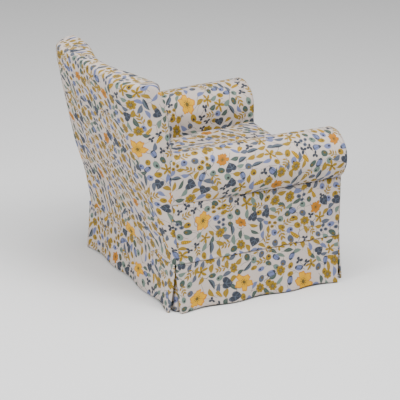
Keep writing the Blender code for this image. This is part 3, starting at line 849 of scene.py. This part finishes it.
STEM_LOW_HALF = ROLL_X - ROLL_RADIUS - TAPER * (ARM_LENGTH - 0.03)


def make_back():
    panel("outside_back", 220, 132, outside_back, ("outside_back_cover",),
          lambda p: (p.x, max(p.y - 0.2, 0), 0), start=(0.05, 0.33), seed=21.7, soft=0.0016, size=0.15)

    def inside(u, v):
        if v <= 0.5:
            z = DECK_Z + 0.001 + (STEM_TOP - DECK_Z) * v / 0.5
        else:
            z = STEM_TOP + (DOME_Z + 0.010 - STEM_TOP) * (v - 0.5) / 0.5
        side = u * 2 - 1
        stem = stem_half(z)
        if abs(side) <= STEM_SHARE:
            x = side / STEM_SHARE * stem
        else:
            wing = (abs(side) - STEM_SHARE) / (1 - STEM_SHARE)
            x = math.copysign(stem + (back_half(z) - WING_ROUND + 0.003 - stem) * wing, side)
        edge = smooth(back_half(z) - WING_ROUND - abs(x), 0.0, 0.030) * smooth(DOME_Z + 0.012 - z, 0, 0.030)
        crown = 0.0045 * edge - 0.0015
        return x, inside_y(x, z) + 0.004 - crown, z

    cover = panel("inside_back", 104, 96, inside, ("inside_back_cover", "inside_back_pad"),
                  lambda p: (0, -1, 0.2), start=(0.02, 0.90), seed=31.9, soft=0.0016, size=0.13,
                  keep=lambda u, v: v > 0.46 or abs(u * 2 - 1) < STEM_SHARE)


# ---------------------------------------------------------------- skirt
SKIRT_FLARE = 0.010
SKIRT_CLOTH = 0.0030
SKIRT_OVERLAP = 0.003    # how far the skirt reaches up past the seam
SKIRT_TIP = 0.030        # the corners flare over this distance
SKIRT_WAVE = 0.235       # from one soft wave to the next


def skirt_drop(run, width, u, v, seed):
    """How far a hanging panel stands out, and how far its hem lifts: flared tips, soft waves between."""
    tip = math.exp(-min(run, width - run) / SKIRT_TIP)
    waves = math.cos(2 * math.pi * round(width / SKIRT_WAVE) * u)
    sway = 0.0055 * waves + 0.0035 * ripple(run, seed, 0, 0.09, seed)
    out = SKIRT_FLARE * v**1.4 + (sway + 0.004 * tip) * v**1.5
    lift = (0.0022 - 0.0022 * waves * 0.6 - 0.0032 * tip) * v**2
    return out, lift


def make_skirt_panel(name, start, end, outward, seed, origin):
    run_length = (Vector(end) - Vector(start)).length
    top = SKIRT_TOP + SKIRT_OVERLAP
    drop = top - HEM_Z

    def surface(u, v):
        u -= 0.80 * math.sin(2 * math.pi * u) / (2 * math.pi)    # finer faces at the turned-in ends
        height = 1 - v
        out, lift = skirt_drop(u * run_length, run_length, u, height, seed)
        slit = 0.007 * height**1.3 * (1 - 2 * u) * smooth(abs(1 - 2 * u), 0.55, 1.0)
        share = u + slit / run_length
        lip = 0.0050 * smooth(height, 0.004, 0.028) - 0.0016
        from_end = min(u, 1 - u) * run_length
        lip -= 0.0085 * (1 - smooth(from_end, 0.0, 0.0055)) * smooth(height, 0.0, 0.12)
        x = start[0] + (end[0] - start[0]) * share + outward[0] * (out + lip)
        y = start[1] + (end[1] - start[1]) * share + outward[1] * (out + lip)
        return x, y, top - drop * height + lift

    cloth = panel(f"{name}_drape", int(run_length / 0.0052), 34, surface, (name,),
                  lambda p: (outward[0], outward[1], 0), start=origin, seed=seed, soft=0.0006,
                  thickness=SKIRT_CLOTH, size=0.07)


def make_skirt():
    rear = BACK_SEAM_Y
    edge = 0.005             # the side panels stop this short of the corners
    front_half = body_half(FRONT_Y) - 0.003
    rear_half = body_half(rear) - 0.003
    make_skirt_panel("skirt_front", (-front_half, FRONT_Y), (front_half, FRONT_Y), (0, -1), 1.3,
                     (0.14, 0.05))
    make_skirt_panel("skirt_back", (rear_half, rear + 0.003), (-rear_half, rear + 0.003), (0, 1), 4.9,
                     (0.30, 0.49))
    for side, label in SIDES:
        front = (side * body_half(FRONT_Y + edge), FRONT_Y + edge)
        back = (side * body_half(rear - edge), rear - edge)
        ends = (front, back) if side > 0 else (back, front)
        make_skirt_panel(f"skirt_{label}", *ends, (side, 0), 8.1 + side, (0.17, 1.37))
        for end, y, inwards in (("front", FRONT_Y, 1), ("rear", rear, -1)):
            make_pleat(f"pleat_gusset_{end}_{label}", side, y, inwards)


def make_pleat(node, side, y, inwards):
    """The folded strip behind a corner slit: along one panel, round the corner, along the other."""
    reach, sink, radius = 0.052, 0.0075, 0.009
    top = GUSSET_HIGH.z - 0.002

    def surface(u, v):
        flare = SKIRT_FLARE * 0.75 * (1 - v) ** 1.4
        corner_x = body_half(y) - sink + flare
        corner_y = y + inwards * (sink - flare)
        if u < 0.4:
            x, along = corner_x - radius - (reach - radius) * (0.4 - u) / 0.4, 0
        elif u > 0.6:
            x, along = corner_x, radius + (reach - radius) * (u - 0.6) / 0.4
        else:
            angle = (u - 0.4) / 0.2 * math.pi / 2
            x, along = corner_x - radius + radius * math.sin(angle), radius * (1 - math.cos(angle))
        x -= TAPER * along * inwards
        return side * x, corner_y + inwards * along, HEM_Z + 0.0015 + (top - HEM_Z - 0.0015) * v

    cloth = panel(f"{node}_fold", 30, 20, surface, (node,), lambda p: (side, -inwards, 0),
                  start=(0.47, 0.33), seed=41.0 + side + y, soft=0.0005, thickness=0.0022, size=0.05)


# ---------------------------------------------------------------- seat
CUSHION_GRID = (38, 44, 11)      # faces across, along and up the cushion before it is subdivided
CUSHION_CROWN = 0.009            # how far its top is domed before it is filled
CUSHION_MOVE_CAP = 0.015         # how far the filling may move a point of the cover
CUSHION_FRAMES = 18
ZIP_Z = (ZIP_LOW.z + ZIP_HIGH.z) / 2


def cushion_plan(a, b):
    """A point of the cushion's outline seen from above, for a and b from -1 to 1. Corners are eased."""
    rounding = 0.10
    y = (CUSHION_LOW.y + CUSHION_HIGH.y) / 2 + (CUSHION_HIGH.y - CUSHION_LOW.y) / 2 * b * math.sqrt(
        1 - rounding * a * a / 2)
    half = CUSHION_HIGH.x - TAPER * (y - CUSHION_LOW.y)
    return half * a * math.sqrt(1 - rounding * b * b / 2), y


def cushion_mesh():
    """The sewn cushion before it is filled: top and bottom panels joined by a boxing strip."""
    across, along, up = CUSHION_GRID
    low, high = CUSHION_LOW.z, CUSHION_HIGH.z
    bm = bmesh.new()

    def lid(z, offset, crown=0.0):
        def surface(u, v):
            a, b = 2 * u - 1, 2 * v - 1
            return (*cushion_plan(a, b), z + crown * (1 - a**4) * (1 - b**4))
        grid_mesh(bm, across, along, surface, offset)

    lid(high, (0.19, 0.06), CUSHION_CROWN)
    lid(low, (0.55, 0.06))
    edges = (((-1, -1), (1, -1), across), ((1, -1), (1, 1), along),
             ((1, 1), (-1, 1), across), ((-1, 1), (-1, -1), along))
    for number, (a, b, count) in enumerate(edges):
        def boxing(u, v, a=a, b=b):
            spot = cushion_plan(a[0] + (b[0] - a[0]) * u, a[1] + (b[1] - a[1]) * u)
            return (*spot, low + (high - low) * v)
        grid_mesh(bm, count, up, boxing, (0.25 + 0.43 * number, 1.05))
    bmesh.ops.remove_doubles(bm, verts=bm.verts[:], dist=0.0005)
    bmesh.ops.recalc_face_normals(bm, faces=bm.faces[:])
    return bm


def on_zip(co):
    """The strip of the rear boxing that the zip is sewn to."""
    return co.y > CUSHION_HIGH.y - 0.02 and abs(co.x) < ZIP_HIGH.x + 0.006 and abs(co.z - ZIP_Z) < 0.017


def fill_cushion(piece):
    """Inflates the cushion with the cloth simulation and keeps the result as its mesh."""
    held = piece.vertex_groups.new(name="held")
    held.add([v.index for v in piece.data.vertices if v.co.z < CUSHION_LOW.z + 0.001 or on_zip(v.co)],
             1.0, "ADD")
    cloth = piece.modifiers.new("filling", "CLOTH")
    settings = cloth.settings
    settings.quality = 5
    settings.mass = 0.35
    settings.tension_stiffness = 22
    settings.compression_stiffness = 14
    settings.shear_stiffness = 8
    settings.bending_stiffness = 1.2
    settings.vertex_group_mass = "held"
    settings.use_pressure = True
    settings.uniform_pressure_force = 4.0
    settings.shrink_min = -0.012
    settings.effector_weights.gravity = 0.0
    scene = bpy.context.scene
    for number in range(1, CUSHION_FRAMES + 1):
        scene.frame_set(number)
    filled = bpy.data.meshes.new_from_object(piece.evaluated_get(bpy.context.evaluated_depsgraph_get()))
    piece.modifiers.remove(cloth)
    piece.vertex_groups.clear()
    scene.frame_set(1)
    piece.data = filled


def settle_cushion(piece, rest):
    """Keeps each point near where it was sewn, between the arms and off the deck, with seams pulled in."""
    center_y = (CUSHION_LOW.y + CUSHION_HIGH.y) / 2
    for vert, start in zip(piece.data.vertices, rest):
        move = vert.co - start
        if move.length > CUSHION_MOVE_CAP:
            move *= CUSHION_MOVE_CAP / move.length
        spot = start + move
        arm = ROLL_X - ROLL_RADIUS - TAPER * (spot.y - FRONT_Y) - 0.0015
        spot.x = max(min(spot.x, arm), -arm)
        spot.z = max(spot.z, DECK_Z + 0.0008)
        seam = min(abs(start.z - CUSHION_HIGH.z), abs(start.z - CUSHION_LOW.z)) < 0.0005 and (
            abs(start.x) > 0.98 * abs(cushion_plan(1, (start.y - center_y) / 0.29)[0])
            or start.y < CUSHION_LOW.y + 0.012)
        if seam and start.z > ZIP_Z:
            spot.z -= 0.0022
            spot.x *= 0.995
        if on_zip(start):
            spot.y = ZIP_LOW.y + 0.0003
        vert.co = spot


def make_cushion():
    piece = add_piece("seat_cushion", cushion_mesh(), PRINT, body="seat_cushion",
                      replaces=("seat_cushion_cover", "seat_cushion_foam"))
    rest = [v.co.copy() for v in piece.data.vertices]
    fill_cushion(piece)
    settle_cushion(piece, rest)
    for polygon in piece.data.polygons:
        polygon.use_smooth = True
    smoothing = piece.modifiers.new("fine cloth", "SUBSURF")
    smoothing.levels = smoothing.render_levels = 1


def make_front_border():
    """The panel below the cushion: up the front edge and back over it to the deck."""
    nose = 0.012

    def surface(u, v):
        half = BORDER_HIGH.x + 0.001
        x = half * (2 * u - 1)
        front = BORDER_LOW.y
        rise = (DECK_Z - nose - SKIRT_TOP) / (DECK_Z - SKIRT_TOP + 0.030)
        if v <= rise:
            z = SKIRT_TOP - 0.001 + (DECK_Z - nose - SKIRT_TOP + 0.001) * v / rise
            puff = 0.0030 * math.sin(math.pi * min(v / rise, 1)) ** 0.6
            return x, front - puff * (1 - abs(2 * u - 1) ** 6), z
        share = (v - rise) / (1 - rise)
        if share <= 0.45:
            angle = share / 0.45 * math.pi / 2
            return x, front + nose - nose * math.cos(angle), DECK_Z - nose + nose * math.sin(angle) + 0.0006
        return x, front + nose + 0.018 * (share - 0.45) / 0.55, DECK_Z + 0.0006

    panel("front_edge_panel", 70, 26, surface, ("front_border", "front_edge_pad"),
          lambda p: (0, -1, 0.3), start=(0.04, 0.71), seed=51.0, soft=0.0007)


def long_axis(node):
    low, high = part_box(node)
    size = high - low
    return "xyz"[max(range(3), key=lambda i: size[i])]


def finish_cad_nodes():
    """Gives the CAD nodes that stay their materials. Wood is laid along each piece."""
    beech = {axis: planed_wood(f"beech_{axis}", (0.560, 0.370, 0.205), (0.400, 0.235, 0.110), axis, 0.5)
             for axis in "xyz"}
    looks = {
        "dark_leg_wood": planed_wood("dark_leg_wood", (0.060, 0.030, 0.016), (0.022, 0.011, 0.007),
                                     "z", 0.32, coat=0.25),
        "foam": foam(),
        "deck_cloth": plain_cloth("deck_cloth", (0.62, 0.57, 0.50), (0.52, 0.47, 0.41), 0.0012),
        "webbing": plain_cloth("webbing", (0.030, 0.028, 0.026), (0.060, 0.055, 0.050), 0.0022),
        "black_cambric": plain_cloth("black_cambric", (0.012, 0.012, 0.012), (0.022, 0.022, 0.022),
                                     0.0008),
        "glide_plastic": plain_cloth("glide_plastic", (0.020, 0.020, 0.020), (0.030, 0.030, 0.030),
                                     0.0016, roughness=0.42, sheen=0.0),
        "spring_steel": metal("spring_steel", (0.30, 0.30, 0.31), 0.34, 90.0),
        "zip_metal": metal("zip_metal", (0.62, 0.50, 0.30), 0.30, 300.0),
    }
    for entry in frame["record"]["subparts"]:
        node, kind = entry["node"], entry["material_slot"]
        item = frame["nodes"][node]
        if kind == "printed_linen":
            continue
        item.data.materials.clear()
        item.data.materials.append(beech[long_axis(node)] if kind == "beech" else looks[kind])


# ---------------------------------------------------------------- floor, light and camera
WORLD_STRENGTH = 0.34
FLOOR_SIZE, FLOOR_Z, FLOOR_WHITE = 40.0, -0.0004, 0.76
LAMPS = (                # name, place, diameter, power
    ("overhead", (-1.2, 0.3, 4.6), 3.6, 270.0),
    ("side", (-3.4, -0.9, 4.3), 2.2, 165.0),
    ("rear", (-0.6, 4.6, 2.8), 3.0, 215.0),
)


CAMERA_AZIMUTH, CAMERA_RISE, CAMERA_DISTANCE = 241.7128, 21.4984, 6.6924
CAMERA_TARGET = (0.2310, -0.1604, 0.1515)
CAMERA_SENSOR, CAMERA_LENS = 36.0, 153.6


def make_stage():
    bpy.ops.mesh.primitive_plane_add(size=FLOOR_SIZE, location=(0.0, 0.0, FLOOR_Z))
    floor = bpy.context.object
    floor.name = "studio_floor"
    mat, tree, shader = new_material("studio_floor", 0.9, specular=0.1)
    shader.inputs["Base Color"].default_value = (FLOOR_WHITE, FLOOR_WHITE, FLOOR_WHITE, 1.0)
    floor.data.materials.append(mat)

    world = bpy.data.worlds.new("studio")
    world.use_nodes = True
    backdrop = world.node_tree.nodes["Background"]
    backdrop.inputs["Color"].default_value = (1.0, 1.0, 1.0, 1.0)
    backdrop.inputs["Strength"].default_value = WORLD_STRENGTH
    bpy.context.scene.world = world

    target = Vector((0.0, 0.0, 0.35))
    for name, place, size, power in LAMPS:
        data = bpy.data.lights.new(name, "AREA")
        data.shape = "DISK"
        data.size = size
        data.energy = power
        light = bpy.data.objects.new(name, data)
        light.location = place
        light.rotation_euler = (target - Vector(place)).to_track_quat("-Z", "Y").to_euler()
        bpy.context.scene.collection.objects.link(light)


def make_camera():
    """From behind the chair's right side, a little above it, with a long lens."""
    azimuth, rise = math.radians(CAMERA_AZIMUTH), math.radians(CAMERA_RISE)
    away = Vector((math.sin(azimuth) * math.cos(rise), -math.cos(azimuth) * math.cos(rise),
                   math.sin(rise)))
    data = bpy.data.cameras.new("camera")
    data.sensor_width = CAMERA_SENSOR
    data.lens = CAMERA_LENS
    camera = bpy.data.objects.new("camera", data)
    camera.location = Vector(CAMERA_TARGET) + away * CAMERA_DISTANCE
    camera.rotation_euler = (-away).to_track_quat("-Z", "Y").to_euler()
    bpy.context.scene.collection.objects.link(camera)
    bpy.context.scene.camera = camera


make_camera()
for arm_side, arm_label in SIDES:
    make_arm(arm_side, arm_label)
make_back()
make_skirt()
make_front_border()
make_cushion()
finish_cad_nodes()
make_stage()
